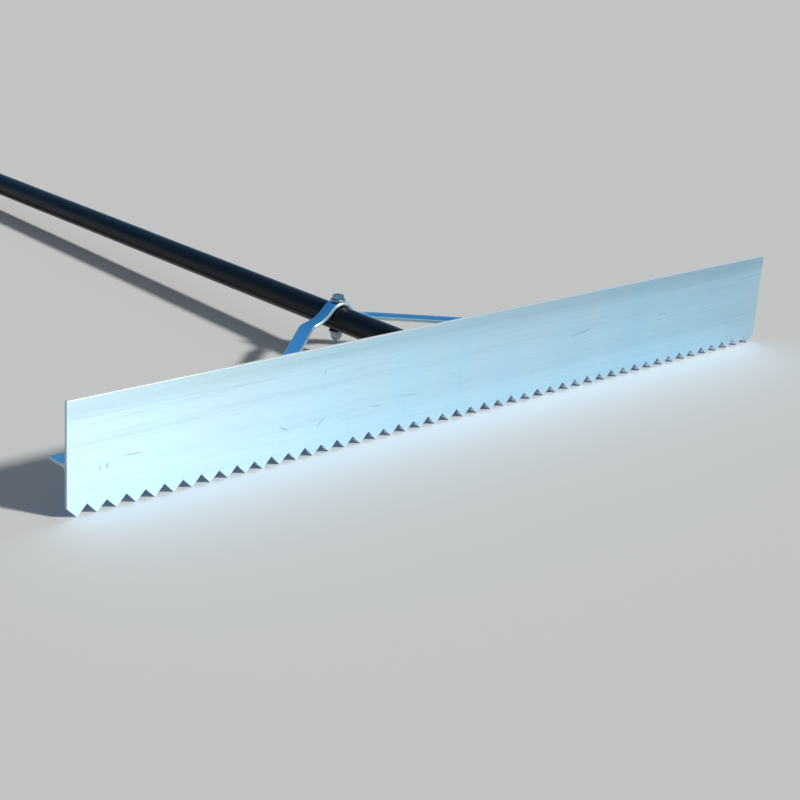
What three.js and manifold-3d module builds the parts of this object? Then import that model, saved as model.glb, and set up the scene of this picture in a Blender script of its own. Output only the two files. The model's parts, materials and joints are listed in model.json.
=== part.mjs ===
// Scarifier lute rake: a toothed T extrusion on a long tubular handle, stayed by one bent flat bar.
// Millimetres. The head is built square, with X along the blade, Y towards the grip and Z up from
// the tooth tips. It is then tipped to lie as the rake does on level ground, on its teeth and the
// end of its grip.
import * as THREE from 'three';
import { mergeVertices, toCreasedNormals } from 'three/addons/utils/BufferGeometryUtils.js';
import Module from 'manifold-3d';

const wasm = await Module();
wasm.setup();

// Blade
const bladeLength = 914.4;
const bladeHeight = 101.6;
const bladeThickness = 3.2;
const bladeCornerRadius = 0.8;
const toothCount = 48;
const toothAngle = THREE.MathUtils.degToRad(90);
const notchStagger = 0.4;

// Rib behind the blade
const ribHeight = 45;
const ribReach = 23.8;
const ribThickness = 3.2;
const ribRootRadius = 4;
const ribEdgeRadius = 0.8;

// Handle
const handleLength = 1828.8;
const tubeDiameter = 26.7;
const tubeWall = 2;

// Grip on the handle's far end
const gripLength = 230;
const gripWall = 2.8;
const gripEndThickness = 4;
const gripEndRadius = 3.5;
const gripCollarWidth = 9;
const gripCollarHeight = 1.6;
const gripGrooveCount = 11;
const gripGrooveDepth = 1;

// Brace, of flat bar with full round edges
const strapWidth = 15.9;
const strapThickness = 4.76;
const saddleDistance = 206;
const saddleBendRadius = 45;
const legBendStart = 33.6;
const legBendRadius = 19;
const footSpread = 508;

// Fasteners
const boltDiameter = 6.35;
const boltTipChamfer = 0.9;
const boltProtrusion = 2.4;
const hexAcrossFlats = 11.1;
const hexHeadHeight = 4;
const nutHexHeight = 5.4;
const nutCollarHeight = 2.3;
const nutCollarDiameter = 9.9;
const nutCollarRadius = 0.8;
const washerDiameter = 15.9;
const washerThickness = 1.6;

// Fits
const seatGap = 0.3;
const boltClearance = 0.35;
const overrun = 5;

// Smoothness of round stretches
const tubeSegments = 28;
const gripSegments = 36;
const boltSegments = 20;
const saddleSegments = 7;
const flankSegments = 10;
const strapEdgeSegments = 6;
const bendSegments = 4;
const grooveSteps = 4;
const creaseAngle = THREE.MathUtils.degToRad(35);

// Places that follow from the sizes
const toothPitch = bladeLength / toothCount;
const notchDepth = toothPitch / 2 / Math.tan(toothAngle / 2);
const ribEdge = bladeThickness + ribReach;
const ribTop = ribHeight + ribThickness / 2;
const ribUnderside = ribHeight - ribThickness / 2;
const boltLine = (bladeThickness + ribRootRadius + ribEdge) / 2;
const tubeRadius = tubeDiameter / 2;
const tubeFront = bladeThickness + ribRootRadius + seatGap;
const tubeBack = tubeFront + handleLength;
const gripRadius = tubeRadius + seatGap + gripWall;
const gripBack = tubeBack + seatGap + gripEndThickness;
const legTop = ribUnderside - seatGap;
const legMiddle = legTop - strapThickness / 2;
const legUnderside = legTop - strapThickness;
const saddleInnerRadius = tubeRadius + seatGap;
const saddleOuterRadius = saddleInnerRadius + strapThickness;
const saddleTop = ribHeight + saddleOuterRadius;
const boltHoleRadius = boltDiameter / 2 + boltClearance;

const aluminium = { color: 0xc9d3da, roughness: 0.36, metalness: 1 };
const darkCoat = { color: 0x14171f, roughness: 0.35, metalness: 0.1 };
const zinc = { color: 0xa9b0b4, roughness: 0.34, metalness: 1 };
const vinyl = { color: 0x17181a, roughness: 0.6, metalness: 0 };

function toSolid(geometry) {
  geometry.deleteAttribute('normal');
  geometry.deleteAttribute('uv');
  const merged = mergeVertices(geometry);
  return new wasm.Manifold(new wasm.Mesh({
    numProp: 3,
    vertProperties: new Float32Array(merged.attributes.position.array),
    triVerts: new Uint32Array(merged.index.array),
  }));
}

function toGeometry(solid) {
  const { vertProperties, triVerts } = solid.getMesh();
  const geometry = new THREE.BufferGeometry();
  geometry.setAttribute('position', new THREE.BufferAttribute(new Float32Array(vertProperties), 3));
  geometry.setIndex(new THREE.BufferAttribute(new Uint32Array(triVerts), 1));
  return toCreasedNormals(geometry, creaseAngle);
}

// A shape drawn in X and Z, extruded along Y from start
function extrudeBack(shape, start, depth, curveSegments) {
  const geometry = new THREE.ExtrudeGeometry(shape, { depth, curveSegments, bevelEnabled: false });
  return geometry.rotateX(Math.PI / 2).translate(0, start + depth, 0);
}

// A shape drawn in Y and Z, extruded along X and centred on it
function extrudeAcross(shape, width, curveSegments) {
  const geometry = new THREE.ExtrudeGeometry(shape, { depth: width, curveSegments, bevelEnabled: false });
  const turn = new THREE.Matrix4().makeBasis(
    new THREE.Vector3(0, 1, 0),
    new THREE.Vector3(0, 0, 1),
    new THREE.Vector3(1, 0, 0),
  );
  return geometry.applyMatrix4(turn).translate(-width / 2, 0, 0);
}

// A shape drawn in X and Y, extruded up from bottom
function extrudeUp(shape, bottom, height, curveSegments) {
  const geometry = new THREE.ExtrudeGeometry(shape, { depth: height, curveSegments, bevelEnabled: false });
  return geometry.translate(0, 0, bottom);
}

// A profile of [radius, height] points, revolved about Z
function revolve(profile, segments) {
  const points = profile.map(([radius, height]) => new THREE.Vector2(radius, height));
  return new THREE.LatheGeometry(points, segments).rotateX(Math.PI / 2);
}

function uprightHole(x, y, bottom, top) {
  const height = top - bottom + 2 * overrun;
  const hole = new THREE.CylinderGeometry(boltHoleRadius, boltHoleRadius, height, boltSegments);
  return toSolid(hole.rotateX(Math.PI / 2).translate(x, y, (top + bottom) / 2));
}

// The blade's front outline: a valley at each end, and every second notch cut a little deeper
function bladeOutline() {
  const half = bladeLength / 2;
  const valleyHeight = (index) => notchDepth + (index % 2 === 1 ? notchStagger : -notchStagger);
  const outline = new THREE.Shape();
  outline.moveTo(-half, valleyHeight(0));
  for (let tooth = 0; tooth < toothCount; tooth += 1) {
    outline.lineTo(-half + (tooth + 0.5) * toothPitch, 0);
    outline.lineTo(-half + (tooth + 1) * toothPitch, valleyHeight(tooth + 1));
  }
  const corner = bladeCornerRadius;
  outline.absarc(half - corner, bladeHeight - corner, corner, 0, Math.PI / 2, false);
  outline.absarc(-half + corner, bladeHeight - corner, corner, Math.PI / 2, Math.PI, false);
  outline.closePath();
  return outline;
}

// The rib's section, with a fillet above and below where it grows out of the blade's back
function ribSection() {
  const root = bladeThickness + ribRootRadius;
  const inside = bladeThickness / 2;
  const edge = ribEdgeRadius;
  const section = new THREE.Shape();
  section.moveTo(inside, ribTop + ribRootRadius);
  section.lineTo(bladeThickness, ribTop + ribRootRadius);
  section.absarc(root, ribTop + ribRootRadius, ribRootRadius, Math.PI, 1.5 * Math.PI, false);
  section.absarc(ribEdge - edge, ribTop - edge, edge, Math.PI / 2, 0, true);
  section.absarc(ribEdge - edge, ribUnderside + edge, edge, 0, -Math.PI / 2, true);
  section.absarc(root, ribUnderside - ribRootRadius, ribRootRadius, Math.PI / 2, Math.PI, false);
  section.lineTo(inside, ribUnderside - ribRootRadius);
  section.closePath();
  return section;
}

function bladeGeometry() {
  const plate = toSolid(extrudeBack(bladeOutline(), 0, bladeThickness, bendSegments));
  const rib = toSolid(extrudeAcross(ribSection(), bladeLength, bendSegments));
  let blade = plate.add(rib);
  for (const x of [-footSpread / 2, 0, footSpread / 2]) {
    blade = blade.subtract(uprightHole(x, boltLine, ribUnderside, ribTop));
  }
  return toGeometry(blade);
}

// The tube straddles the rib in a slot, and is drilled for the head bolt and the saddle bolt
function handleTubeGeometry() {
  const ring = new THREE.Shape();
  ring.absarc(0, ribHeight, tubeRadius, 0, 2 * Math.PI, false);
  const bore = new THREE.Path();
  bore.absarc(0, ribHeight, tubeRadius - tubeWall, 0, 2 * Math.PI, true);
  ring.holes.push(bore);
  let tube = toSolid(extrudeBack(ring, tubeFront, handleLength, tubeSegments));

  const slotHeight = ribThickness + 2 * seatGap;
  const slotLength = ribEdge + seatGap - tubeFront + overrun;
  const slot = new THREE.BoxGeometry(tubeDiameter + 2 * overrun, slotLength, slotHeight);
  slot.translate(0, ribEdge + seatGap - slotLength / 2, ribHeight);
  tube = tube.subtract(toSolid(slot));
  for (const y of [boltLine, saddleDistance]) {
    tube = tube.subtract(uprightHole(0, y, ribHeight - tubeRadius, ribHeight + tubeRadius));
  }
  return toGeometry(tube);
}

// A vinyl sleeve with a collar, shallow grooves and a closed round end
function gripGeometry() {
  const inner = tubeRadius + seatGap;
  const outer = gripRadius;
  const collar = outer + gripCollarHeight;
  const front = gripBack - gripLength;
  const profile = [
    [0, tubeBack + seatGap],
    [inner, tubeBack + seatGap],
    [inner, front],
    [collar - gripCollarHeight / 2, front],
    [collar, front + gripCollarHeight],
    [collar, front + gripCollarWidth - gripCollarHeight],
    [outer, front + gripCollarWidth],
  ];
  const grooveZone = gripLength - gripCollarWidth - gripEndRadius;
  const groovePitch = grooveZone / (gripGrooveCount + 1);
  for (let groove = 1; groove <= gripGrooveCount; groove += 1) {
    const middle = front + gripCollarWidth + groove * groovePitch;
    for (let step = 0; step <= grooveSteps; step += 1) {
      const across = step / grooveSteps;
      const depth = gripGrooveDepth * Math.sin(Math.PI * across);
      profile.push([outer - depth, middle + groovePitch / 2 * (across - 0.5)]);
    }
  }
  for (let step = 0; step <= bendSegments; step += 1) {
    const turn = Math.PI / 2 * step / bendSegments;
    profile.push([
      outer - gripEndRadius * (1 - Math.cos(turn)),
      gripBack - gripEndRadius * (1 - Math.sin(turn)),
    ]);
  }
  profile.push([0, gripBack]);
  const grip = revolve(profile, gripSegments).rotateX(-Math.PI / 2).translate(0, 0, ribHeight);
  return toGeometry(toSolid(grip));
}

// One half of the strap as stations, from the top of the saddle to the round end about the foot's
// bolt. A station is a place on the strap's middle line, the ways from it to the strap's rear and
// front edges, and the way out of its upper face.
function strapStations() {
  // Bent on the flat: round the tube, then back to level
  const wrapRadius = (saddleInnerRadius + saddleOuterRadius) / 2;
  const bendReach = wrapRadius + saddleBendRadius;
  const bendZ = legMiddle + saddleBendRadius;
  const wrap = Math.acos((bendZ - ribHeight) / bendReach);
  const wrapX = wrapRadius * Math.sin(wrap);
  const levelX = bendReach * Math.sin(wrap);

  // Bent on edge: forward, to head for the foot
  const footX = footSpread / 2;
  const centreY = saddleDistance - legBendRadius;
  const acrossX = footX - legBendStart;
  const acrossY = boltLine - centreY;
  const turn = Math.atan2(acrossX, acrossY) - Math.acos(legBendRadius / Math.hypot(acrossX, acrossY));
  const turnX = legBendStart + legBendRadius * Math.sin(turn);

  const stations = [];
  const addStation = (x, z, lean) => {
    const sideways = THREE.MathUtils.clamp(x - legBendStart, 0, turnX - legBendStart);
    const heading = Math.asin(sideways / legBendRadius);
    const beyond = Math.max(x - turnX, 0);
    const y = centreY + legBendRadius * Math.cos(heading) - beyond * Math.tan(turn);
    const rearWay = new THREE.Vector3(Math.sin(heading), Math.cos(heading), 0);
    const along = new THREE.Vector3(rearWay.y, -rearWay.x, -Math.tan(lean) * rearWay.y);
    stations.push({
      place: new THREE.Vector3(x, y, z),
      rearWay,
      frontWay: rearWay.clone().negate(),
      out: along.cross(rearWay).normalize(),
    });
  };
  for (let step = 0; step <= saddleSegments; step += 1) {
    const lean = wrap * step / saddleSegments;
    addStation(wrapRadius * Math.sin(lean), ribHeight + wrapRadius * Math.cos(lean), lean);
  }
  const flankWidth = Math.max(levelX, turnX) - wrapX;
  for (let step = 1; step <= flankSegments; step += 1) {
    const x = wrapX + flankWidth * step / flankSegments;
    const lean = Math.asin(Math.max(levelX - x, 0) / saddleBendRadius);
    addStation(x, bendZ - saddleBendRadius * Math.cos(lean), lean);
  }

  // Round the foot, the ways to both edges swinging until they meet
  const foot = new THREE.Vector3(footX, boltLine, legMiddle);
  const legRear = new THREE.Vector3(Math.sin(turn), Math.cos(turn), 0);
  const legAlong = new THREE.Vector3(Math.cos(turn), -Math.sin(turn), 0);
  for (let step = 0; step <= strapEdgeSegments; step += 1) {
    const swing = Math.PI / 2 * step / strapEdgeSegments;
    const forward = legAlong.clone().multiplyScalar(Math.sin(swing));
    stations.push({
      place: foot,
      rearWay: forward.clone().addScaledVector(legRear, Math.cos(swing)),
      frontWay: forward.clone().addScaledVector(legRear, -Math.cos(swing)),
      out: new THREE.Vector3(0, 0, 1),
    });
  }
  return stations;
}

// The strap's outline at a station: down round its rear edge, then up round its front edge
function strapRing({ place, rearWay, frontWay, out }) {
  const edgeRadius = strapThickness / 2;
  const flatReach = strapWidth / 2 - edgeRadius;
  const ring = [];
  const addEdge = (way, topFirst) => {
    for (let step = 0; step <= strapEdgeSegments; step += 1) {
      const down = Math.PI * (step / strapEdgeSegments - 0.5);
      const lean = topFirst ? -down : down;
      const point = place.clone().addScaledVector(out, edgeRadius * Math.sin(lean));
      ring.push(point.addScaledVector(way, flatReach + edgeRadius * Math.cos(lean)));
    }
  };
  addEdge(rearWay, true);
  addEdge(frontWay, false);
  return ring;
}

// A closed skin over a row of rings, the first and the last of which are folded flat
function skin(rings) {
  const count = rings[0].length;
  const index = [];
  for (let row = 0; row < rings.length - 1; row += 1) {
    for (let column = 0; column < count; column += 1) {
      const beside = (column + 1) % count;
      const near = [row * count + column, row * count + beside];
      const far = [near[0] + count, near[1] + count];
      index.push(near[0], far[0], far[1], near[0], far[1], near[1]);
    }
  }
  const geometry = new THREE.BufferGeometry().setFromPoints(rings.flat());
  return geometry.setIndex(index);
}

function braceGeometry() {
  const right = strapStations();
  const mirror = new THREE.Vector3(-1, 1, 1);
  const left = right.slice(1).reverse().map((station) => ({
    place: station.place.clone().multiply(mirror),
    rearWay: station.rearWay.clone().multiply(mirror),
    frontWay: station.frontWay.clone().multiply(mirror),
    out: station.out.clone().multiply(mirror),
  }));
  let brace = toSolid(skin([...left, ...right].map(strapRing)));
  for (const side of [-1, 1]) {
    brace = brace.subtract(uprightHole(side * footSpread / 2, boltLine, legUnderside, legTop));
  }
  brace = brace.subtract(uprightHole(0, saddleDistance, ribHeight, saddleTop));
  return toGeometry(brace);
}

// A hexagonal prism from 0 up to height, chamfered round its top
function hexagon(height) {
  const cornerRadius = hexAcrossFlats / 2 / Math.cos(Math.PI / 6);
  const outline = new THREE.Shape();
  for (let corner = 0; corner < 6; corner += 1) {
    const turn = corner * Math.PI / 3;
    const x = cornerRadius * Math.cos(turn);
    const y = cornerRadius * Math.sin(turn);
    if (corner === 0) {
      outline.moveTo(x, y);
    } else {
      outline.lineTo(x, y);
    }
  }
  outline.closePath();
  const prism = toSolid(extrudeUp(outline, 0, height, 1));
  const flatRadius = hexAcrossFlats / 2;
  const slope = Math.tan(Math.PI / 6);
  const cone = revolve([
    [0, -height],
    [2 * flatRadius, -height],
    [2 * flatRadius, height - flatRadius * slope],
    [flatRadius, height],
    [0, height],
  ], 2 * boltSegments);
  return prism.intersect(toSolid(cone));
}

// A bolt with its head above 0 and its shank below, as long as the stack that it clamps
function boltGeometry(gripLengthUnderHead) {
  const radius = boltDiameter / 2;
  const length = gripLengthUnderHead + nutHexHeight + nutCollarHeight + boltProtrusion;
  const shank = revolve([
    [0, -length],
    [radius - boltTipChamfer, -length],
    [radius, boltTipChamfer - length],
    [radius, hexHeadHeight / 2],
    [0, hexHeadHeight / 2],
  ], boltSegments);
  return toGeometry(hexagon(hexHeadHeight).add(toSolid(shank)));
}

// A lock nut, its round collar up
function nutGeometry() {
  const collarRadius = nutCollarDiameter / 2;
  const height = nutHexHeight + nutCollarHeight;
  const collar = revolve([
    [0, nutHexHeight / 2],
    [collarRadius, nutHexHeight / 2],
    [collarRadius, height - nutCollarRadius],
    [collarRadius - nutCollarRadius, height],
    [0, height],
  ], boltSegments);
  const nut = hexagon(nutHexHeight).add(toSolid(collar));
  return toGeometry(nut.subtract(uprightHole(0, 0, 0, height)));
}

function washerGeometry() {
  const radius = washerDiameter / 2;
  const washer = revolve([
    [boltHoleRadius, 0],
    [radius, 0],
    [radius, washerThickness],
    [boltHoleRadius, washerThickness],
    [boltHoleRadius, 0],
  ], boltSegments);
  return toGeometry(toSolid(washer));
}

function addPiece(parent, name, geometry, finish) {
  const mesh = new THREE.Mesh(geometry, new THREE.MeshStandardMaterial(finish));
  mesh.name = name;
  parent.add(mesh);
  return mesh;
}

// A bolt, its nut and a washer under each, head up through a stack from bottom to top
function addFastener(parent, name, x, y, bottom, top) {
  const set = new THREE.Group();
  const stack = top - bottom;
  const face = stack / 2 + seatGap;
  const seat = face + washerThickness + seatGap;
  addPiece(set, `${name}_bolt`, boltGeometry(2 * seat + seatGap), zinc).position.z = seat;
  addPiece(set, `${name}_bolt_washer`, washerGeometry(), zinc).position.z = face;
  addPiece(set, `${name}_nut_washer`, washerGeometry(), zinc).position.z = -face - washerThickness;
  const nut = addPiece(set, `${name}_nut`, nutGeometry(), zinc);
  nut.rotation.x = Math.PI;
  nut.position.z = -seat;
  set.position.set(x, y, (bottom + top) / 2);
  parent.add(set);
}

const head = new THREE.Group();
addPiece(head, 'blade', bladeGeometry(), aluminium);
addPiece(head, 'handle_tube', handleTubeGeometry(), darkCoat);
addPiece(head, 'grip', gripGeometry(), vinyl);
addPiece(head, 'brace', braceGeometry(), aluminium);
addFastener(head, 'handle', 0, boltLine, ribHeight - tubeRadius, ribHeight + tubeRadius);
addFastener(head, 'saddle', 0, saddleDistance, ribHeight - tubeRadius, saddleTop);
addFastener(head, 'left_foot', -footSpread / 2, boltLine, legUnderside, ribTop);
addFastener(head, 'right_foot', footSpread / 2, boltLine, legUnderside, ribTop);

// On level ground the rake lies on the rear edge of its teeth and on the end of its grip
const restSlope = Math.atan2(ribHeight - gripRadius, gripBack - gripEndRadius - bladeThickness);
head.rotation.x = -restSlope;

// The origin is on the ground, under the middle of the whole rake
const rake = new THREE.Group();
rake.add(head);
rake.updateMatrixWorld(true);
const reach = new THREE.Box3().setFromObject(rake, true);
const middle = reach.getCenter(new THREE.Vector3());
head.position.set(-middle.x, -middle.y, -reach.min.z);

export default rake;
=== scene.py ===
import json
import math

import bmesh
import bpy
from mathutils import Matrix, Vector


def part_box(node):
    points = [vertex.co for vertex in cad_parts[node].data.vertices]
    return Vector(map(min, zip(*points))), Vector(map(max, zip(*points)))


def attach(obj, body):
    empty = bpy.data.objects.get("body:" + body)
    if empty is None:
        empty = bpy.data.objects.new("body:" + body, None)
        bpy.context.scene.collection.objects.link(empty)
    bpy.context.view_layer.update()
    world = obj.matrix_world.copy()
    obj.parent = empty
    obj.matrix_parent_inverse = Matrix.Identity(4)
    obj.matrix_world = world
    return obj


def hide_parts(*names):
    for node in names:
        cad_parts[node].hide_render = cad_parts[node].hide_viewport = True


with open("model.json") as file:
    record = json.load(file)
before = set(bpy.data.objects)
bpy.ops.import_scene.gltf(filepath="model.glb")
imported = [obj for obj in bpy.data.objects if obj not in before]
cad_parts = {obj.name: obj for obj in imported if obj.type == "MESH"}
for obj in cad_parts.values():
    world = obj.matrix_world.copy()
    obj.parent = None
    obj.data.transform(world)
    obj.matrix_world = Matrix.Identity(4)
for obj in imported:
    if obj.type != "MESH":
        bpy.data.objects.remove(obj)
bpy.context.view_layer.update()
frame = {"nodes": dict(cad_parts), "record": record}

# Everything is in metres. The head is modelled square, with X along the blade, Y towards the grip
# and Z up, and is then tipped as the frame's own head is tipped.

# Camera, as the photograph was taken
CAMERA_PLACE = Vector((-1.1355, -2.0062, 0.5856))
CAMERA_AIM = Vector((-0.0956, -0.9197, 0.0336))
CAMERA_ROLL = math.radians(4.556)
CAMERA_LENS = 76.773
CAMERA_SENSOR = 36.0

# Light
SUN_WAY = Vector((0.455, -0.690, 0.563))
SUN_SPREAD = math.radians(6.5)
SUN_STRENGTH = 3.2
SUN_COLOUR = (1.0, 0.86, 0.70)
ROOM_LEVEL = 0.16
ROOM_COLOUR = (1.0, 0.99, 0.98, 1)
FLOOR_REACH = 40.0
FLOOR_COLOUR = (0.74, 0.85, 0.98, 1)

# Backdrop, from the horizon up: height and colour, behind the blade and before it. The two blend
# over this share of the way to each side.
BACKDROP_BEHIND = [
    (0.0, (0.80, 0.86, 0.90, 1)),
    (0.06, (0.42, 0.67, 0.86, 1)),
    (0.18, (0.10, 0.40, 0.72, 1)),
    (0.55, (0.04, 0.22, 0.46, 1)),
    (0.95, (0.08, 0.28, 0.46, 1)),
]
BACKDROP_BEFORE = [
    (0.0, (0.84, 0.91, 0.96, 1)),
    (0.20, (0.30, 0.84, 1.0, 1)),
    (0.60, (0.16, 0.74, 1.0, 1)),
    (0.95, (0.08, 0.28, 0.46, 1)),
]
BACKDROP_BLEND_SHARE = 0.3

# Blade
BLADE_EDGE = 0.00035
BLADE_EDGE_STEPS = 2
BLADE_THICKNESS = 0.0032
RIB_THICKNESS = 0.0032
BLADE_SHADE_DEPTH = 0.060
BLADE_BAND_START = 0.018
BLADE_BAND_FULL = 0.008

# How squarely a face of the blade has to look sideways, upwards or forwards to count as one that
# does, and how much of the plate edges' painted white highlight a sawn end gets
END_FACING = 0.9
LEVEL_FACING = 0.7
FRONT_FACING = 0.93
SAWN_END_PAINTED_HIGHLIGHT = 0.25

# Straight marks on the blade's face: place along, place up, length, tilt in degrees and width
BLADE_MARKS = [
    (-0.426, 0.038, 0.006, 75, 0.0016),
    (-0.419, 0.039, 0.007, 62, 0.0022),
    (-0.394, 0.044, 0.026, -4, 0.0010),
    (-0.235, 0.033, 0.014, -27, 0.0012),
    (-0.193, 0.031, 0.016, 53, 0.0012),
    (-0.190, 0.078, 0.007, 74, 0.0012),
    (-0.127, 0.034, 0.018, -5, 0.0009),
    (-0.084, 0.037, 0.032, -5, 0.0008),
    (0.156, 0.060, 0.044, 6, 0.0012),
    (0.284, 0.060, 0.021, -3, 0.0010),
]
MARK_DEPTH = 0.0024

# Brace
STRAP_THICKNESS = 0.00476
SADDLE_BEND = 0.045
LEG_START = 0.0336
LEG_BEND = 0.019
SEAT_GAP = 0.0003
WRAP_STEPS = 24
BEND_STEPS = 48
LEG_STEPS = 8
STRAP_END_STEPS = 12
STRAP_EDGE_STEPS = 12

# How many of the section's points cover half the strap's width on its grain map
GRAIN_POINTS = 6

# Handle and grip
TUBE_WALL = 0.002
TUBE_LIP = 0.0003
GRIP_WALL = 0.0028
GRIP_LIP = 0.0003
GRIP_END = 0.0035
GRIP_END_STEPS = 10
GRIP_COLLAR_WIDTH = 0.009
GRIP_COLLAR_HEIGHT = 0.0016
GRIP_COLLAR_FRONT_STEPS = 6
GRIP_COLLAR_BACK_STEPS = 8
GRIP_GROOVES = 11
GRIP_GROOVE_DEPTH = 0.001
GRIP_GROOVE_STEPS = 12
GRIP_GROOVE_POWER = 1.5

# Fasteners
BOLT_DIAMETER = 0.00635
BOLT_RADIUS = BOLT_DIAMETER / 2
BOLT_CLEARANCE = 0.00035
HOLE_RADIUS = BOLT_RADIUS + BOLT_CLEARANCE
NECK_FILLET = 0.0003

# Hexagons: how much of a corner's reach is left, and the end's circle as a share of the flats
HEX_CORNER_SHARE = 0.988
HEX_CIRCLE_SHARE = 0.97

# Bolt head: the dish in its top and the bearing face below, as shares of the flats and heights
HEX_HEAD_HEIGHT = 0.004
HEAD_DISH_DEPTH = 0.0001
HEAD_DISH_SHARES = (0.80, 0.86)
HEAD_FACE_SHARES = (0.96, 0.95)
HEAD_FACE_HEIGHTS = (0.0004, 0.00025)

# Lock nut: its bearing face, as shares of the flats and heights, its bore's edge and its collar
NUT_HEX_HEIGHT = 0.0054
NUT_FACE_SHARES = (0.94, 0.96)
NUT_FACE_HEIGHTS = (0.0002, 0.0003)
NUT_BORE_WIDTHS = (0, 0.0005)
NUT_BORE_HEIGHTS = (0.0006, 0.0001)
NUT_COLLAR_DIAMETER = 0.0099
NUT_COLLAR_FILLET = 0.0002

# The collar's crimp over the insert: its width, and how far inside the collar's wall and below
# the nut's top each of its points lies
NUT_CRIMP_WIDTH = 0.00095
NUT_CRIMP_CURVE = [
    (0, 0.0008),
    (0.0001, 0.00045),
    (0.0003, 0.00015),
    (0.0006, 0),
    (0.0009, 0.0001),
    (0.0010, 0.0003),
]

# Nylon insert: how far outside the bore and below the nut's top
NUT_INSERT_CURVE = [(0.0002, 0.0004), (0, 0.0006), (0, 0.0016)]

# Stamped washer: sharper below and rounder above, in steps in from its rim and down from its top
WASHER_BORE_EDGE = 0.0002
WASHER_RIM_EDGE = 0.0001
WASHER_RIM_CURVE = [(0, 0.0005), (0.00015, 0.00018), (0.0005, 0)]
WASHER_BORE_LIP = 0.0003

# Thread, with its wave's slope and the share of the wave that the flat crest takes away
THREAD_PITCH = 0.00127
THREAD_DEPTH = 0.00055
THREAD_REACH = 0.0155
THREAD_POINT = 0.0009
THREAD_STEPS = 8
THREAD_SLOPE = 2.4
THREAD_CUT_SHARE = 0.1

# Meshes
COLUMNS = 96
CUT_OVERRUN = 0.005
CREASE = math.radians(32)
STRAP_CREASE = math.radians(50)
FLAT_ANGLE = math.radians(1)
WELD = 1e-7
BLADE_WELD = 1e-6


# Frame

# The head is tipped as the first mount's axis slopes
mount = frame["record"]["mounts"][0]
REST_SLOPE = math.asin(mount["axis"][2])
TIP = Matrix.Rotation(-REST_SLOPE, 4, "X")
SQUARE = TIP.inverted()


def square_box(node):
    """The lowest and highest corner of a CAD node along the head's own square axes."""
    points = [SQUARE @ vertex.co for vertex in frame["nodes"][node].data.vertices]
    low = Vector([min(point[axis] for point in points) for axis in range(3)])
    high = Vector([max(point[axis] for point in points) for axis in range(3)])
    return low, high


def square_middle(node):
    low, high = square_box(node)
    return (low + high) / 2


# The blade as it rests: its finish is laid out from its top and its front
blade_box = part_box("blade")
BLADE_TOP = blade_box[1].z
BLADE_FRONT = blade_box[0].y

# Half the distance across the hexagons' flats
nut_box = square_box("saddle_nut")
HEX_FLAT = (nut_box[1].y - nut_box[0].y) / 2


# Mesh making

def to_mesh(name, shape, crease=CREASE):
    """Turns a bmesh into a mesh with smooth faces and sharp creases."""
    bmesh.ops.recalc_face_normals(shape, faces=shape.faces)
    mesh = bpy.data.meshes.new(name)
    shape.to_mesh(mesh)
    shape.free()
    mesh.shade_smooth()
    mesh.set_sharp_from_angle(angle=crease)
    return mesh


def turned(rings, open_bore=False):
    """A solid turned about Z. A ring is a radius and a height, or a function of the angle that
    gives them. With an open bore the last ring joins the first."""
    shape = bmesh.new()
    grid = []
    for ring in rings:
        row = []
        for column in range(COLUMNS):
            angle = 2 * math.pi * column / COLUMNS
            radius, height = ring(angle) if callable(ring) else ring
            point = (radius * math.cos(angle), radius * math.sin(angle), height)
            row.append(shape.verts.new(point))
        grid.append(row)
    pairs = list(zip(grid, grid[1:]))
    if open_bore:
        pairs.append((grid[-1], grid[0]))
    for lower, upper in pairs:
        for column in range(COLUMNS):
            after = (column + 1) % COLUMNS
            shape.faces.new((lower[column], lower[after], upper[after], upper[column]))
    bmesh.ops.remove_doubles(shape, verts=shape.verts, dist=WELD)
    return shape


def modified(piece):
    """Applies a piece's modifiers to its mesh."""
    evaluated = piece.evaluated_get(bpy.context.evaluated_depsgraph_get())
    mesh = bpy.data.meshes.new_from_object(evaluated)
    piece.modifiers.clear()
    piece.data = mesh


def place(name, mesh):
    piece = bpy.data.objects.new(name, mesh)
    bpy.context.scene.collection.objects.link(piece)
    return piece


def cut(piece, cutters):
    """Cuts plain tools, given as bmeshes, out of a piece."""
    tools = []
    for number, shape in enumerate(cutters):
        tool = place(f"cutter_{number}", to_mesh("cutter", shape))
        tools.append(tool)
        modifier = piece.modifiers.new("cut", "BOOLEAN")
        modifier.operation = "DIFFERENCE"
        modifier.solver = "EXACT"
        modifier.object = tool
    modified(piece)
    for tool in tools:
        bpy.data.objects.remove(tool)
    piece.data.set_sharp_from_angle(angle=CREASE)
    return piece


def drill(x, y, low, high):
    """A round cutter for a bolt's hole, upright at x and y."""
    tool = turned([(0, low), (HOLE_RADIUS, low), (HOLE_RADIUS, high), (0, high)])
    bmesh.ops.translate(tool, verts=tool.verts, vec=(x, y, 0))
    return tool


def block(low, high):
    """A square-cornered cutter between two corners."""
    tool = bmesh.new()
    bmesh.ops.create_cube(tool, size=1.0)
    bmesh.ops.scale(tool, verts=tool.verts, vec=high - low)
    bmesh.ops.translate(tool, verts=tool.verts, vec=(low + high) / 2)
    return tool


def fit(piece, finishes, slot, *nodes):
    """Tips a piece with the head, gives it its finishes and stands it for its CAD nodes."""
    piece.data.transform(TIP)
    piece.data.materials.clear()
    for finish in finishes:
        piece.data.materials.append(finish)
    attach(piece, "root")
    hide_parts(*nodes)


# Materials

def add_node(tree, kind, inputs=None, **settings):
    """Adds a node. Inputs are given by name, as a value or as the socket that feeds them."""
    node = tree.nodes.new(kind)
    for name, value in settings.items():
        setattr(node, name, value)
    for key, value in (inputs or {}).items():
        if isinstance(value, bpy.types.NodeSocket):
            tree.links.new(value, node.inputs[key])
        else:
            node.inputs[key].default_value = value
    return node


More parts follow.
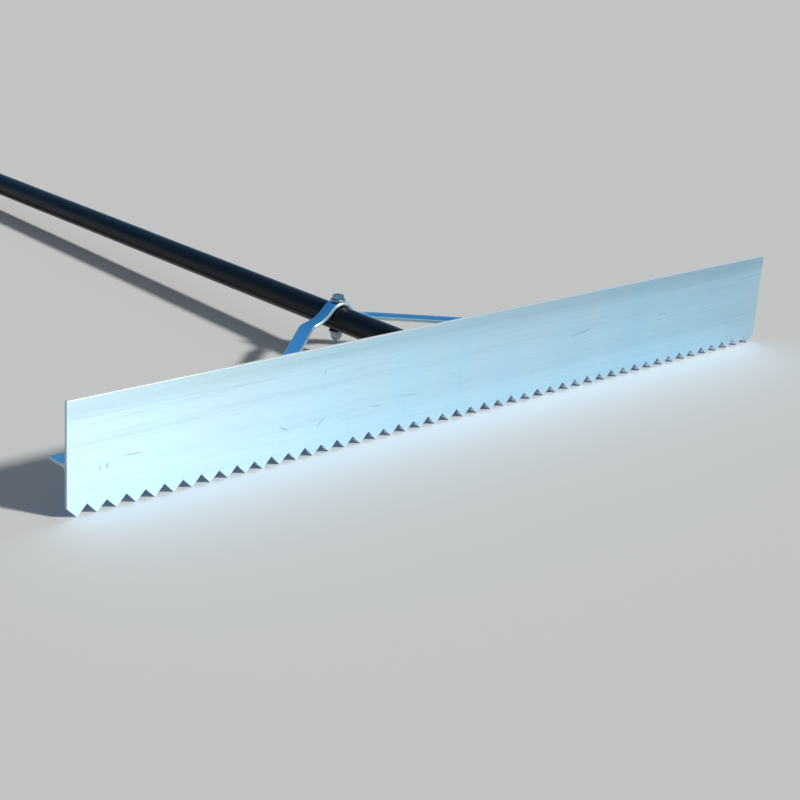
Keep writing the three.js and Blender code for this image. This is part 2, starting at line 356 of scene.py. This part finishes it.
class Finish:
    """A node material, with short names for the nodes that it uses."""

    def __init__(self, name):
        self.material = bpy.data.materials.new(name)
        self.material.use_nodes = True
        self.tree = self.material.node_tree
        self.tree.nodes.clear()
        self.place = self.add("ShaderNodeTexCoord").outputs["Object"]

    def add(self, kind, inputs=None, **settings):
        return add_node(self.tree, kind, inputs, **settings)

    def stretch(self, scale, vector=None):
        mapping = self.add("ShaderNodeMapping", {"Vector": vector or self.place, "Scale": scale})
        return mapping.outputs["Vector"]

    def noise(self, scale, detail=2.0, roughness=0.5, vector=None):
        """Noise with a grain of 1/scale metres along each axis."""
        vector = self.stretch(scale, vector)
        inputs = {"Vector": vector, "Scale": 1.0, "Detail": detail, "Roughness": roughness}
        return self.add("ShaderNodeTexNoise", inputs).outputs["Fac"]

    def maths(self, operation, a, b):
        return self.add("ShaderNodeMath", {0: a, 1: b}, operation=operation).outputs[0]

    def span(self, value, low, high, new_low=0.0, new_high=1.0):
        """Maps low to high onto a new span, and no further."""
        node = self.add("ShaderNodeMapRange", {
            "Value": value,
            "From Min": low,
            "From Max": high,
            "To Min": new_low,
            "To Max": new_high,
        })
        return node.outputs["Result"]

    def blend(self, share, a, b, kind="MIX"):
        inputs = {"Factor": share, 6: a, 7: b}
        return self.add("ShaderNodeMix", inputs, data_type="RGBA", blend_type=kind).outputs[2]

    def attribute(self, name):
        return self.add("ShaderNodeAttribute", attribute_name=name).outputs["Fac"]

    def darken(self, tone, share, level):
        """Multiplies a tone by a level where the share is 1."""
        return self.blend(share, tone, self.blend(1.0, tone, grey(level), "MULTIPLY"))

    def scratch(self, along, up, length, tilt, width):
        """A share that is 1 on a straight mark on the blade's face and fades at its ends."""
        spot = self.add(
            "ShaderNodeMapping",
            {
                "Vector": self.place,
                "Location": (along, BLADE_FRONT + MARK_DEPTH / 3, up),
                "Rotation": (0, -math.radians(tilt), 0),
                "Scale": (length / 2, MARK_DEPTH, width / 2),
            },
            vector_type="TEXTURE",
        )
        fade = self.add("ShaderNodeTexGradient", {0: spot.outputs[0]}, gradient_type="SPHERICAL")
        return self.span(fade.outputs["Fac"], 0.0, 0.5)

    def bump(self, height, distance, strength=1.0, normal=None):
        inputs = {"Height": height, "Distance": distance, "Strength": strength}
        if normal is not None:
            inputs["Normal"] = normal
        return self.add("ShaderNodeBump", inputs).outputs["Normal"]

    def shade(self, inputs):
        shader = self.add("ShaderNodeBsdfPrincipled", inputs)
        self.add("ShaderNodeOutputMaterial", {"Surface": shader.outputs["BSDF"]})
        return self.material


def grey(level):
    return (level, level, level, 1.0)


def blade_finish():
    """Aluminium brushed along the blade, with faint clouds and a few marks, a blue tint that is a
    painted reflection of a blue sky, and a painted white highlight on its rim.
    """
    finish = Finish("blade_aluminium")
    painted_rim_highlight = finish.attribute("painted_rim_highlight")
    height = finish.add("ShaderNodeSeparateXYZ", {0: finish.place}).outputs["Z"]
    bands = finish.noise((0.8, 60, 60), detail=3)
    lines = finish.noise((8, 480, 480), detail=5, roughness=0.7)
    hairs = finish.noise((18, 2400, 2400), detail=2)
    clouds = finish.noise((15, 1, 5), detail=4, roughness=0.55)
    cloudy = finish.span(clouds, 0.35, 0.65)
    # These tones are aluminium with a painted reflection of a blue sky tinted in
    tone = finish.blend(cloudy, (0.48, 0.72, 0.89, 1), (0.58, 0.79, 0.93, 1))
    tone = finish.darken(tone, finish.span(bands, 0.45, 0.75), 0.92)
    tone = finish.darken(tone, finish.span(lines, 0.50, 0.72), 0.86)
    tone = finish.darken(tone, finish.span(height, BLADE_TOP - BLADE_SHADE_DEPTH, BLADE_TOP), 0.95)
    band = finish.span(height, BLADE_TOP - BLADE_BAND_START, BLADE_TOP - BLADE_BAND_FULL)
    tone = finish.darken(tone, band, 0.87)
    for mark in BLADE_MARKS:
        tone = finish.darken(tone, finish.scratch(*mark), 0.55)
    # Cut and rounded edges get a painted white highlight, paler and less metallic than the face
    tone = finish.blend(painted_rim_highlight, tone, (0.90, 0.95, 0.97, 1))
    rough = finish.span(lines, 0.3, 0.7, 0.34, 0.42)
    rough = finish.maths("ADD", rough, finish.span(clouds, 0.35, 0.65, 0.02, -0.02))
    normal = finish.bump(lines, 0.00004, 0.6)
    normal = finish.bump(hairs, 0.00001, 0.5, normal)
    tangent = finish.add("ShaderNodeTangent", direction_type="UV_MAP", uv_map="grain")
    return finish.shade({
        "Base Color": tone,
        "Metallic": finish.span(painted_rim_highlight, 0.0, 1.0, 1.0, 0.35),
        "Roughness": rough,
        "Normal": normal,
        "Anisotropic": 0.84,
        "Anisotropic Rotation": 0.25,
        "Tangent": tangent.outputs["Tangent"],
    })


def brace_finish():
    """Aluminium brushed along the strap, tinted blue as a painted reflection of a blue sky, with a
    painted pale highlight on its round edges.
    """
    finish = Finish("brace_aluminium")
    grain = finish.add("ShaderNodeUVMap", uv_map="grain").outputs["UV"]
    painted_rim_highlight = finish.attribute("painted_rim_highlight")
    lines = finish.noise((5, 1200, 1), detail=4, roughness=0.6, vector=grain)
    smudges = finish.noise((60, 60, 60), detail=3)
    smudged = finish.span(smudges, 0.35, 0.7)
    # These tones are aluminium with a painted reflection of a blue sky tinted in
    tone = finish.blend(smudged, (0.36, 0.60, 0.80, 1), (0.29, 0.54, 0.77, 1))
    # Round edges get a painted pale highlight, paler and less metallic than the broad faces
    tone = finish.blend(finish.span(painted_rim_highlight, 0.35, 0.8), tone, (0.60, 0.74, 0.84, 1))
    rough = finish.span(lines, 0.3, 0.7, 0.24, 0.36)
    normal = finish.bump(lines, 0.00003, 0.5)
    tangent = finish.add("ShaderNodeTangent", direction_type="UV_MAP", uv_map="grain")
    return finish.shade({
        "Base Color": tone,
        "Metallic": finish.span(painted_rim_highlight, 0.35, 0.8, 1.0, 0.6),
        "Roughness": rough,
        "Normal": normal,
        "Anisotropic": 0.6,
        "Anisotropic Rotation": 0.25,
        "Tangent": tangent.outputs["Tangent"],
    })


def coat_finish():
    """A dark coat with a slight peel, faint streaks and specks of dust."""
    finish = Finish("handle_coat")
    peel = finish.noise((700, 500, 700), detail=2)
    streaks = finish.noise((420, 6, 420), detail=4, roughness=0.6)
    dust = finish.noise((1600, 1600, 1600), detail=1)
    streaked = finish.span(streaks, 0.4, 0.8)
    tone = finish.blend(streaked, (0.009, 0.008, 0.012, 1), (0.015, 0.014, 0.020, 1))
    tone = finish.blend(finish.span(dust, 0.70, 0.78, 0.0, 0.5), tone, (0.16, 0.15, 0.14, 1))
    rough = finish.span(streaks, 0.3, 0.8, 0.24, 0.42)
    normal = finish.bump(peel, 0.00005, 0.35)
    return finish.shade({
        "Base Color": tone,
        "Metallic": 0.0,
        "Roughness": rough,
        "Normal": normal,
        "Specular IOR Level": 0.17,
    })


def vinyl_finish():
    """Dull black vinyl, finely pebbled and a little dusty."""
    finish = Finish("grip_vinyl")
    pebbles = finish.add(
        "ShaderNodeTexVoronoi",
        {"Vector": finish.stretch((1300, 1300, 1300)), "Scale": 1.0},
        feature="SMOOTH_F1",
    ).outputs["Distance"]
    dust = finish.noise((90, 60, 90), detail=4)
    dusty = finish.span(dust, 0.45, 0.8)
    tone = finish.blend(dusty, (0.014, 0.015, 0.017, 1), (0.045, 0.043, 0.041, 1))
    return finish.shade({
        "Base Color": tone,
        "Roughness": finish.span(dust, 0.3, 0.7, 0.5, 0.68),
        "Normal": finish.bump(pebbles, 0.0001, 0.5),
        "Specular IOR Level": 0.4,
    })


def zinc_finish():
    """Plain zinc plate, clouded and finely grained."""
    finish = Finish("zinc_fasteners")
    cloud = finish.noise((260, 260, 260), detail=4)
    grain = finish.noise((2600, 2600, 2600), detail=2)
    cloudy = finish.span(cloud, 0.35, 0.65)
    tone = finish.blend(cloudy, (0.26, 0.33, 0.37, 1), (0.44, 0.51, 0.55, 1))
    return finish.shade({
        "Base Color": tone,
        "Metallic": 1.0,
        "Roughness": finish.span(cloud, 0.3, 0.7, 0.28, 0.44),
        "Normal": finish.bump(grain, 0.00002, 0.4),
    })


def nylon_finish():
    """A lock nut's pale insert."""
    finish = Finish("nut_insert")
    cloud = finish.noise((900, 900, 900), detail=2)
    tone = finish.blend(cloud, (0.55, 0.60, 0.62, 1), (0.68, 0.72, 0.73, 1))
    return finish.shade({"Base Color": tone, "Roughness": 0.45})


# Blade

def blade():
    """The frame's own plate and rib, with fine rounded edges."""
    shape = bmesh.new()
    shape.from_mesh(frame["nodes"]["blade"].data)
    bmesh.ops.remove_doubles(shape, verts=shape.verts, dist=BLADE_WELD)
    bmesh.ops.transform(shape, matrix=SQUARE, verts=shape.verts)
    bmesh.ops.dissolve_limit(shape, angle_limit=FLAT_ANGLE, verts=shape.verts, edges=shape.edges)
    piece = place("toothed_blade", to_mesh("toothed_blade", shape))
    bevel = piece.modifiers.new("edges", "BEVEL")
    bevel.width = BLADE_EDGE
    bevel.segments = BLADE_EDGE_STEPS
    bevel.limit_method = "ANGLE"
    bevel.angle_limit = CREASE
    bevel.harden_normals = True
    modified(piece)
    grain_map(piece.data)
    painted_rim_highlight_map(piece.data)
    return piece


def grain_map(mesh):
    """A UV map that runs along X on every face that holds that direction."""
    layer = mesh.uv_layers.new(name="grain")
    for face in mesh.polygons:
        normal = face.normal
        for corner in face.loop_indices:
            point = mesh.vertices[mesh.loops[corner].vertex_index].co
            if abs(normal.x) > END_FACING:
                layer.data[corner].uv = (point.y, point.z)
            elif abs(normal.z) > LEVEL_FACING:
                layer.data[corner].uv = (point.x, point.y)
            else:
                layer.data[corner].uv = (point.x, point.z)


def painted_rim_highlight_map(mesh):
    """Marks the cut and rounded edges of the plate, which get a painted white highlight, and the
    sawn ends, which get a weaker one.
    """
    layer = mesh.attributes.new("painted_rim_highlight", "FLOAT", "FACE")
    front = min(vertex.co.y for vertex in mesh.vertices)
    for face in mesh.polygons:
        in_plate = face.center.y < front + BLADE_THICKNESS + BLADE_EDGE
        across = in_plate and abs(face.normal.y) < FRONT_FACING
        sawn = abs(face.normal.x) > END_FACING
        layer.data[face.index].value = SAWN_END_PAINTED_HIGHLIGHT if sawn else 1.0 if across else 0.0


# Brace

def strap_stations():
    """One half of the strap's middle line, from the top of the saddle to the foot: points with the
    directions along it, across it and out of its broad face."""
    tube_low, tube_high = square_box("handle_tube")
    foot = square_middle("right_foot_bolt")
    saddle_y = square_middle("saddle_bolt").y
    axis_z = (tube_low.z + tube_high.z) / 2
    leg_z = square_box("brace")[0].z + STRAP_THICKNESS / 2

    # Bent on the flat: round the tube, then back to level
    wrap_radius = (tube_high.x - tube_low.x) / 2 + SEAT_GAP + STRAP_THICKNESS / 2
    reach = wrap_radius + SADDLE_BEND
    bend_z = leg_z + SADDLE_BEND
    wrap = math.acos((bend_z - axis_z) / reach)
    wrap_x = wrap_radius * math.sin(wrap)
    level_x = reach * math.sin(wrap)

    # Bent on edge: forward, to head for the foot
    centre_y = saddle_y - LEG_BEND
    way = Vector((foot.x - LEG_START, foot.y - centre_y))
    turn = math.atan2(way.x, way.y) - math.acos(LEG_BEND / way.length)
    turn_x = LEG_START + LEG_BEND * math.sin(turn)

    def station(x):
        if x < wrap_x:
            lean = math.asin(x / wrap_radius)
            z = axis_z + wrap_radius * math.cos(lean)
        else:
            lean = math.asin(max(level_x - x, 0) / SADDLE_BEND)
            z = bend_z - SADDLE_BEND * math.cos(lean)
        heading = math.asin(min(max(x - LEG_START, 0), turn_x - LEG_START) / LEG_BEND)
        y = centre_y + LEG_BEND * math.cos(heading) - max(x - turn_x, 0) * math.tan(turn)
        side = Vector((math.sin(heading), math.cos(heading), 0))
        along = Vector((side.y, -side.x, -math.tan(lean) * side.y)).normalized()
        return Vector((x, y, z)), along, side, along.cross(side)

    bent_x = max(level_x, turn_x)
    places = [wrap_radius * math.sin(wrap * step / WRAP_STEPS) for step in range(WRAP_STEPS + 1)]
    places += [wrap_x + (bent_x - wrap_x) * step / BEND_STEPS for step in range(1, BEND_STEPS + 1)]
    places += [bent_x + (foot.x - bent_x) * step / LEG_STEPS for step in range(1, LEG_STEPS + 1)]
    return [station(x) for x in places]


def strap_section():
    """The section's round edge, top to bottom: how far each point lies inside the strap's widest
    line, its height and how squarely it faces sideways."""
    radius = STRAP_THICKNESS / 2
    points = []
    for step in range(STRAP_EDGE_STEPS + 1):
        angle = math.pi * (0.5 - step / STRAP_EDGE_STEPS)
        points.append((radius * (1 - math.cos(angle)), radius * math.sin(angle), math.cos(angle)))
    return points


def brace():
    """The strap, swept along its path, with a round end about each foot and its bolt holes."""
    half_path = strap_stations()
    mirror = Matrix.Scale(-1, 3, Vector((1, 0, 0)))
    left = []
    for point, along, side, out in reversed(half_path[1:]):
        left.append((mirror @ point, mirror @ along * -1, mirror @ side, mirror @ out))
    path = left + half_path
    half_width = square_box("brace")[1].y - square_middle("saddle_bolt").y
    section = strap_section()

    shape = bmesh.new()
    grain = shape.loops.layers.uv.new("grain")
    painted_rim_highlight = shape.verts.layers.float.new("painted_rim_highlight")

    def end_rings(station, sign):
        point, along, side, out = station
        rings = []
        for step in range(1, STRAP_END_STEPS + 1):
            turn = math.pi / 2 * step / STRAP_END_STEPS
            row = []
            for inset, height, _ in section:
                reach = half_width - inset
                row.append((math.sin(turn) * reach, math.cos(turn) * reach, height))
            rings.append((point, along * sign, side, out, row))
        return rings

    rings = end_rings(path[0], -1)[::-1]
    straight = [(0.0, half_width - inset, height) for inset, height, _ in section]
    rings += [station + (straight,) for station in path]
    rings += end_rings(path[-1], 1)

    grid = []
    for point, along, side, out, row in rings:
        loop = []
        for forward, offset, height in row:
            loop.append(shape.verts.new(point + along * forward + side * offset + out * height))
        for forward, offset, height in reversed(row):
            loop.append(shape.verts.new(point + along * forward - side * offset + out * height))
        grid.append(loop)
    # How squarely each point faces sideways sets the weight of its painted edge highlight
    facings = [facing for _, _, facing in section]
    for loop in grid:
        for vertex, facing in zip(loop, facings + facings[::-1]):
            vertex[painted_rim_highlight] = facing
    travelled = 0.0
    count = len(grid[0])
    for number, (before, after) in enumerate(zip(grid, grid[1:])):
        # The rings of a round end share one middle
        step = (rings[number + 1][0] - rings[number][0]).length or half_width / STRAP_END_STEPS
        for column in range(count):
            beside = (column + 1) % count
            face = shape.faces.new((before[column], after[column], after[beside], before[beside]))
            around = [column, column, column + 1, column + 1]
            lengths = [travelled, travelled + step, travelled + step, travelled]
            for corner, place_around, place_along in zip(face.loops, around, lengths):
                corner[grain].uv = (place_along, place_around * half_width / GRAIN_POINTS)
        travelled += step
    bmesh.ops.remove_doubles(shape, verts=shape.verts, dist=WELD)
    piece = place("bent_brace", to_mesh("bent_brace", shape, STRAP_CREASE))

    low, high = square_box("brace")
    tube_axis = square_middle("handle_tube").z
    cutters = []
    for name in ("left_foot", "saddle", "right_foot"):
        spot = square_middle(f"{name}_bolt")
        bottom = tube_axis if name == "saddle" else low.z - CUT_OVERRUN
        cutters.append(drill(spot.x, spot.y, bottom, high.z + CUT_OVERRUN))
    return cut(piece, cutters)


# Fasteners

def hex_radius(angle):
    """The hexagon's outline with its six corners just broken."""
    side = HEX_FLAT / math.cos(angle % (math.pi / 3) - math.pi / 6)
    corner = HEX_CORNER_SHARE * HEX_FLAT / math.cos(math.pi / 6)
    return min(side, corner)


def chamfered(height, inward):
    """A hexagon's ring near an end face, drawn down where the end's cone cuts the corners."""
    def ring(angle):
        radius = hex_radius(angle)
        drop = max(0.0, radius - HEX_CIRCLE_SHARE * HEX_FLAT) * math.tan(math.pi / 6)
        return radius, height - inward * drop
    return ring


def thread_rings(low, start):
    """A shank's rings from start down to low, with a thread that runs out at the top."""
    steps = round((start - low) / THREAD_PITCH * THREAD_STEPS)
    rings = []
    for step in range(steps + 1):
        height = start + (low - start) * step / steps
        fade = min(1.0, (start - height) / (2 * THREAD_PITCH))
        tip = max(0.0, low + THREAD_POINT - height)

        def ring(angle, height=height, fade=fade, tip=tip):
            turn = (height / THREAD_PITCH - angle / (2 * math.pi)) % 1.0
            wave = min(1.0, max(0.0, THREAD_SLOPE * abs(turn - 0.5) - THREAD_CUT_SHARE))
            return BOLT_RADIUS - THREAD_DEPTH * fade * wave - tip, height
        rings.append(ring)
    return rings


def bolt_shape(length):
    """A hexagon bolt with its head above 0 and its tip at -length."""
    top = HEX_HEAD_HEIGHT
    dish = top - HEAD_DISH_DEPTH
    dish_inner, dish_outer = [share * HEX_FLAT for share in HEAD_DISH_SHARES]
    face_outer, face_inner = [share * HEX_FLAT for share in HEAD_FACE_SHARES]
    side_end, face_start = HEAD_FACE_HEIGHTS
    start = -length + THREAD_REACH
    rings = [
        (0, dish),
        (dish_inner, dish),
        (dish_outer, top),
        (HEX_CIRCLE_SHARE * HEX_FLAT, top),
        chamfered(top, 1),
        lambda angle: (hex_radius(angle), side_end),
        (face_outer, face_start),
        (face_inner, 0),
        (BOLT_RADIUS + NECK_FILLET, 0),
        (BOLT_RADIUS, -NECK_FILLET),
        (BOLT_RADIUS, start),
    ]
    rings += thread_rings(-length, start)
    rings.append((0, -length))
    return turned(rings)


def nut_shape(height):
    """A lock nut with its collar up, standing on 0."""
    collar = NUT_COLLAR_DIAMETER / 2
    shoulder = NUT_HEX_HEIGHT
    face_inner, face_outer = [share * HEX_FLAT for share in NUT_FACE_SHARES]
    face_end, side_start = NUT_FACE_HEIGHTS
    rings = [(HOLE_RADIUS + width, rise) for width, rise in zip(NUT_BORE_WIDTHS, NUT_BORE_HEIGHTS)]
    rings += [
        (face_inner, 0),
        (face_outer, face_end),
        chamfered(side_start, -1),
        chamfered(shoulder, 1),
        (HEX_CIRCLE_SHARE * HEX_FLAT, shoulder),
        (collar + NUT_COLLAR_FILLET, shoulder),
        (collar, shoulder + NUT_COLLAR_FILLET),
    ]
    rings += [(collar - inset, height - drop) for inset, drop in NUT_CRIMP_CURVE]
    rings += [(HOLE_RADIUS + width, height - drop) for width, drop in NUT_INSERT_CURVE]
    return turned(rings, open_bore=True)


def washer_shape(thickness, radius):
    """A flat washer that stands on 0."""
    rings = [
        (HOLE_RADIUS, WASHER_BORE_EDGE),
        (HOLE_RADIUS + WASHER_BORE_EDGE, 0),
        (radius - WASHER_RIM_EDGE, 0),
        (radius, WASHER_RIM_EDGE),
    ]
    rings += [(radius - inset, thickness - drop) for inset, drop in WASHER_RIM_CURVE]
    rings.append((HOLE_RADIUS + WASHER_BORE_LIP, thickness))
    rings.append((HOLE_RADIUS, thickness - WASHER_BORE_LIP))
    return turned(rings, open_bore=True)


def stand(name, node, shape, turned_over, base):
    """Stands a fastener's piece at its CAD node, with its own 0 at base."""
    middle = square_middle(node)
    if turned_over:
        bmesh.ops.rotate(shape, verts=shape.verts, matrix=Matrix.Rotation(math.pi, 3, "X"))
    bmesh.ops.translate(shape, verts=shape.verts, vec=(middle.x, middle.y, base))
    return place(name, to_mesh(name, shape))


def fastener(name):
    """A bolt, its nut and their washers, each at its CAD node. The nut's insert is nylon."""
    bolt, nut = f"{name}_bolt", f"{name}_nut"
    washers = (f"{name}_bolt_washer", f"{name}_nut_washer")
    low, high = square_box(bolt)
    head_up = square_middle(nut).z < square_middle(bolt).z
    seat = high.z - HEX_HEAD_HEIGHT if head_up else low.z + HEX_HEAD_HEIGHT
    length = high.z - low.z - HEX_HEAD_HEIGHT
    piece = stand(f"{bolt}_threaded", bolt, bolt_shape(length), not head_up, seat)
    fit(piece, [ZINC], "zinc_fasteners", bolt)

    low, high = square_box(nut)
    base = high.z if head_up else low.z
    piece = stand(f"{nut}_crimped", nut, nut_shape(high.z - low.z), head_up, base)
    fit(piece, [ZINC, NYLON], "zinc_fasteners", nut)
    middle = square_middle(nut)
    crimp_radius = NUT_COLLAR_DIAMETER / 2 - NUT_CRIMP_WIDTH
    for face in piece.data.polygons:
        spot = SQUARE @ face.center
        inside = math.hypot(spot.x - middle.x, spot.y - middle.y) < crimp_radius
        if inside and abs(spot.z - base) > NUT_HEX_HEIGHT:
            face.material_index = 1

    for washer in washers:
        low, high = square_box(washer)
        over = square_middle(washer).z < square_middle(bolt).z
        base = high.z if over else low.z
        shape = washer_shape(high.z - low.z, (high.x - low.x) / 2)
        piece = stand(f"{washer}_stamped", washer, shape, over, base)
        fit(piece, [ZINC], "zinc_fasteners", washer)


# Handle

def laid_along(name, rings, node, open_bore=False):
    """A turned shape laid along Y, on the handle's axis. Ring heights are places along Y."""
    middle = square_middle(node)
    shape = turned(rings, open_bore)
    bmesh.ops.rotate(shape, verts=shape.verts, matrix=Matrix.Rotation(-math.pi / 2, 3, "X"))
    bmesh.ops.translate(shape, verts=shape.verts, vec=(middle.x, 0, middle.z))
    return place(name, to_mesh(name, shape))


def handle():
    """The tube, with the slot over the blade's rib and the holes for its two bolts."""
    low, high = square_box("handle_tube")
    radius = (high.x - low.x) / 2
    axis_z = (low.z + high.z) / 2
    inner = radius - TUBE_WALL
    lip = TUBE_LIP
    saddle = square_middle("saddle_bolt")
    head = square_middle("handle_bolt")
    front, back = low.y, high.y

    # Rings beside the bolts, so that a hole cuts only short faces
    beside = [head.y + 2 * radius, saddle.y - radius, saddle.y + radius]
    rings = [
        (inner, front + lip),
        (inner + lip, front),
        (radius - lip, front),
        (radius, front + lip),
    ]
    rings += [(radius, spot) for spot in beside]
    rings += [(radius, back - lip), (radius - lip, back), (inner + lip, back), (inner, back - lip)]
    rings += [(inner, spot) for spot in reversed(beside)]
    piece = laid_along("coated_handle", rings, "handle_tube", open_bore=True)

    blade_back = square_box("blade")[1].y
    rib_half = RIB_THICKNESS / 2 + SEAT_GAP
    slot_low = Vector((-radius - CUT_OVERRUN, front - CUT_OVERRUN, axis_z - rib_half))
    slot_high = Vector((radius + CUT_OVERRUN, blade_back + SEAT_GAP, axis_z + rib_half))
    cutters = [block(slot_low, slot_high)]
    for spot in (head, saddle):
        cutters.append(drill(spot.x, spot.y, low.z - CUT_OVERRUN, high.z + CUT_OVERRUN))
    return cut(piece, cutters)


def grip():
    """The closed sleeve, with a rounded collar in front, shallow grooves and a round end."""
    low, high = square_box("grip")
    tube_low, tube_high = square_box("handle_tube")
    inner = (tube_high.x - tube_low.x) / 2 + SEAT_GAP
    outer = inner + GRIP_WALL
    collar = outer + GRIP_COLLAR_HEIGHT
    front, back = low.y, high.y
    rings = [
        (0, tube_high.y + SEAT_GAP),
        (inner, tube_high.y + SEAT_GAP),
        (inner, front + GRIP_LIP),
        (inner + GRIP_LIP, front),
        (collar - GRIP_COLLAR_HEIGHT / 2, front),
    ]
    for step in range(1, GRIP_COLLAR_FRONT_STEPS + 1):
        angle = math.pi / 2 * step / GRIP_COLLAR_FRONT_STEPS
        rings.append((
            collar - GRIP_COLLAR_HEIGHT / 2 * (1 - math.sin(angle)),
            front + GRIP_COLLAR_HEIGHT * (1 - math.cos(angle)),
        ))
    shoulder = front + GRIP_COLLAR_WIDTH
    for step in range(GRIP_COLLAR_BACK_STEPS + 1):
        share = step / GRIP_COLLAR_BACK_STEPS
        rings.append((
            outer + GRIP_COLLAR_HEIGHT * (0.5 + 0.5 * math.cos(math.pi * share)),
            shoulder - GRIP_COLLAR_HEIGHT * (1 - share),
        ))
    pitch = (back - front - GRIP_COLLAR_WIDTH - GRIP_END) / (GRIP_GROOVES + 1)
    for groove in range(1, GRIP_GROOVES + 1):
        middle = shoulder + groove * pitch
        for step in range(GRIP_GROOVE_STEPS + 1):
            share = step / GRIP_GROOVE_STEPS
            depth = GRIP_GROOVE_DEPTH * math.sin(math.pi * share) ** GRIP_GROOVE_POWER
            rings.append((outer - depth, middle + pitch / 2 * (share - 0.5)))
    for step in range(GRIP_END_STEPS + 1):
        angle = math.pi / 2 * step / GRIP_END_STEPS
        radius = outer - GRIP_END * (1 - math.cos(angle))
        rings.append((radius, back - GRIP_END * (1 - math.sin(angle))))
    rings.append((0, back))
    return laid_along("grooved_grip", rings, "grip")


# Stage

def camera():
    data = bpy.data.cameras.new("photo_camera")
    data.lens = CAMERA_LENS
    data.sensor_width = CAMERA_SENSOR
    view = (CAMERA_AIM - CAMERA_PLACE).normalized()
    level = view.cross(Vector((0, 0, 1))).normalized()
    above = level.cross(view)
    right = level * math.cos(CAMERA_ROLL) + above * math.sin(CAMERA_ROLL)
    up = right.cross(view)
    eye = bpy.data.objects.new("photo_camera", data)
    bpy.context.scene.collection.objects.link(eye)
    turn = Matrix((right, up, -view)).transposed().to_4x4()
    eye.matrix_world = Matrix.Translation(CAMERA_PLACE) @ turn
    bpy.context.scene.camera = eye


def floor():
    shape = bmesh.new()
    bmesh.ops.create_circle(shape, cap_ends=True, segments=COLUMNS, radius=FLOOR_REACH)
    ground = place("studio_floor", to_mesh("studio_floor", shape))
    finish = Finish("studio_floor")
    plain = finish.add("ShaderNodeBsdfDiffuse", {"Color": FLOOR_COLOUR})
    finish.add("ShaderNodeOutputMaterial", {"Surface": plain.outputs[0]})
    ground.data.materials.append(finish.material)


def room():
    """Plain light from all round, before a backdrop that is pale near the ground and bluer above.
    The metal mirrors that backdrop."""
    world = bpy.data.worlds.new("studio")
    bpy.context.scene.world = world
    world.use_nodes = True
    tree = world.node_tree
    tree.nodes.clear()

    def add(kind, inputs=None):
        return add_node(tree, kind, inputs)

    def background(colour, strength=1.0):
        return add("ShaderNodeBackground", {"Color": colour, "Strength": strength}).outputs[0]

    def backdrop(stops):
        ramp = add("ShaderNodeValToRGB", {"Fac": split.outputs["Z"]})
        for number, (spot, colour) in enumerate(stops):
            elements = ramp.color_ramp.elements
            element = elements[number] if number < 2 else elements.new(spot)
            element.position = spot
            element.color = colour
        return background(ramp.outputs["Color"])

    path = add("ShaderNodeLightPath").outputs
    split = add("ShaderNodeSeparateXYZ", {0: add("ShaderNodeTexCoord").outputs["Generated"]})
    behind = backdrop(BACKDROP_BEHIND)
    before = backdrop(BACKDROP_BEFORE)
    side = add("ShaderNodeMapRange", {
        "Value": split.outputs["Y"],
        "From Min": -BACKDROP_BLEND_SHARE,
        "From Max": BACKDROP_BLEND_SHARE,
    })
    seen = add("ShaderNodeMixShader", {0: side.outputs[0], 1: before, 2: behind})
    plain = background(ROOM_COLOUR, ROOM_LEVEL)
    looking = add("ShaderNodeMath", {0: path["Is Camera Ray"], 1: path["Is Glossy Ray"]})
    looking = add("ShaderNodeMath", {0: looking.outputs[0], 1: path["Is Transmission Ray"]})
    looking.use_clamp = True
    surface = add("ShaderNodeMixShader", {0: looking.outputs[0], 1: plain, 2: seen.outputs[0]})
    add("ShaderNodeOutputWorld", {"Surface": surface.outputs[0]})


def sun():
    data = bpy.data.lights.new("sun", "SUN")
    data.angle = SUN_SPREAD
    data.energy = SUN_STRENGTH
    data.color = SUN_COLOUR
    light = bpy.data.objects.new("sun", data)
    bpy.context.scene.collection.objects.link(light)
    light.rotation_euler = SUN_WAY.to_track_quat("Z", "Y").to_euler()


# The whole scene

ZINC = zinc_finish()
NYLON = nylon_finish()

fit(blade(), [blade_finish()], "blade_aluminium", "blade")
fit(brace(), [brace_finish()], "brace_aluminium", "brace")
fit(handle(), [coat_finish()], "handle_coat", "handle_tube")
fit(grip(), [vinyl_finish()], "grip_vinyl", "grip")
for fastener_name in ("handle", "saddle", "left_foot", "right_foot"):
    fastener(fastener_name)

camera()
floor()
room()
sun()
bpy.context.scene.view_settings.view_transform = "Standard"
